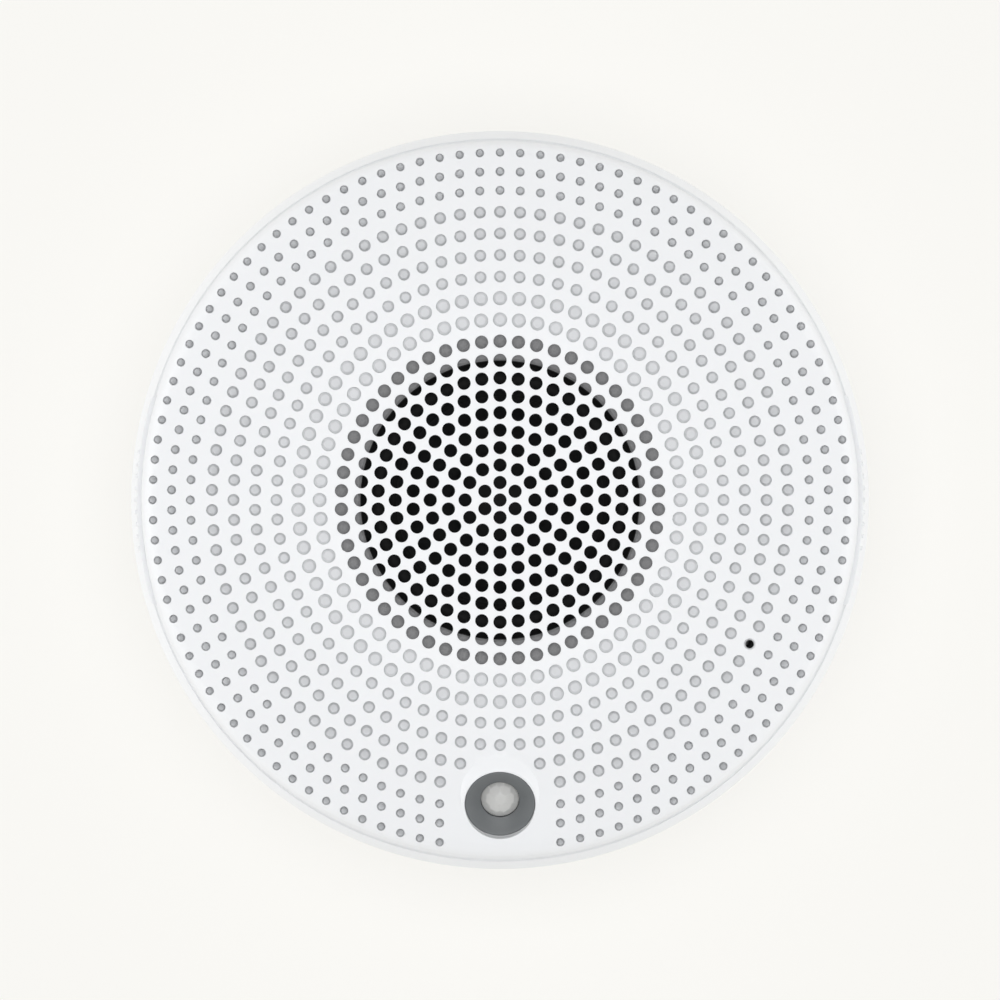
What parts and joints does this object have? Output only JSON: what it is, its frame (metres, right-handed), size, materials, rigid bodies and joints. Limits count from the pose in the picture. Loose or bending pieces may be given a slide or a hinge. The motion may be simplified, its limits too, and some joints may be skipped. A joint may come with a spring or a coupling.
{
  "type": "network mini speaker with motion sensor",
  "caption": "Round wall or ceiling mini loudspeaker with a domed perforated cover, a tilted motion sensor, a microphone hole and a twist-lock mounting plate.",
  "frame": {"origin": "centre of the mounting plate's wall face, on the speaker's axis", "axes": "+Z out of the front along the speaker's axis, -Y towards the motion sensor (down on a wall), +X to the viewer's right"},
  "size_m": [0.15, 0.15, 0.044],
  "materials": {
    "amber_cloth": "resin-stiffened woven cloth",
    "black_metal": "black paint on pressed steel",
    "black_paper": "coated paper pulp",
    "black_rubber": "soft matt rubber",
    "board_green": "solder-masked glass fibre laminate",
    "button_grey": "dark grey, fine matt",
    "chip_black": "moulded epoxy",
    "connector_white": "natural nylon",
    "copper": "enamelled copper winding",
    "cover_white": "fine satin moulded plastic, cool white",
    "cup_grey": "dark grey, fine matt",
    "ferrite": "dark sintered ceramic",
    "foam_grey": "closed-cell foam",
    "former_film": "polyimide film",
    "housing_white": "fine satin moulded plastic, cool white",
    "lead_black": "smooth insulation",
    "lead_red": "smooth insulation",
    "lens_milky": "milky translucent moulded lens",
    "light_clear": "clear moulded light guide",
    "plate_steel": "grey powder coat",
    "socket_steel": "nickel plated shield",
    "zinc_steel": "zinc plated"
  },
  "bodies": {
    "wall_mount": {"mounting_plate": "plate_steel"},
    "speaker_unit": {"front_cover": "cover_white", "rear_housing": "housing_white", "amplifier_chip": "chip_black", "board_screw_1": "zinc_steel", "board_screw_2": "zinc_steel", "board_screw_3": "zinc_steel", "board_screw_4": "zinc_steel", "cone_surround": "black_rubber", "driver_basket": "black_metal", "driver_gasket": "foam_grey", "driver_screw_1": "zinc_steel", "driver_screw_2": "zinc_steel", "driver_screw_3": "zinc_steel", "driver_screw_4": "zinc_steel", "housing_screw_1": "zinc_steel", "housing_screw_2": "zinc_steel", "housing_screw_3": "zinc_steel", "housing_screw_4": "zinc_steel", "light_guide": "light_clear", "magnet": "ferrite", "main_board": "board_green", "memory_chip": "chip_black", "microphone_board": "board_green", "microphone_boot": "black_rubber", "microphone_capsule": "zinc_steel", "microphone_lead": "lead_black", "network_socket": "socket_steel", "output_inductor_1": "chip_black", "output_inductor_2": "chip_black", "pole_and_back_plate": "zinc_steel", "power_transformer": "chip_black", "processor": "chip_black", "reset_switch": "chip_black", "sensor_board": "board_green", "sensor_connector": "connector_white", "sensor_cup": "cup_grey", "sensor_detector": "zinc_steel", "sensor_lead": "lead_black", "sensor_lens": "lens_milky", "speaker_connector": "connector_white", "speaker_lead_black": "lead_black", "speaker_lead_red": "lead_red", "spider": "amber_cloth", "status_light": "light_clear", "supply_capacitor_1": "zinc_steel", "supply_capacitor_2": "zinc_steel", "supply_inductor": "chip_black", "terminal_strip": "amber_cloth", "terminal_tag_1": "zinc_steel", "terminal_tag_2": "zinc_steel", "top_plate": "zinc_steel"},
    "cone_assembly": {"speaker_cone": "black_paper", "dust_cap": "black_paper", "coil_former": "former_film", "voice_coil": "copper"},
    "reset_key": {"reset_button": "button_grey"}
  },
  "joints": [
    {"name": "twist_lock", "type": "hinge", "parent": "wall_mount", "child": "speaker_unit", "pos_m": [0, 0, 0], "axis": [0, 0, 1], "range_deg": [0, 15]},
    {"name": "cone_travel", "type": "slide", "parent": "speaker_unit", "child": "cone_assembly", "axis": [0, 0, 1], "range_m": [-0.0015, 0.0015], "stiffness_N_per_m": 1200, "deforming": ["cone_surround", "spider"]},
    {"name": "reset_press", "type": "slide", "parent": "speaker_unit", "child": "reset_key", "axis": [0, 0, 1], "range_m": [0, 0.0006], "stiffness_N_per_m": 800}
  ]
}
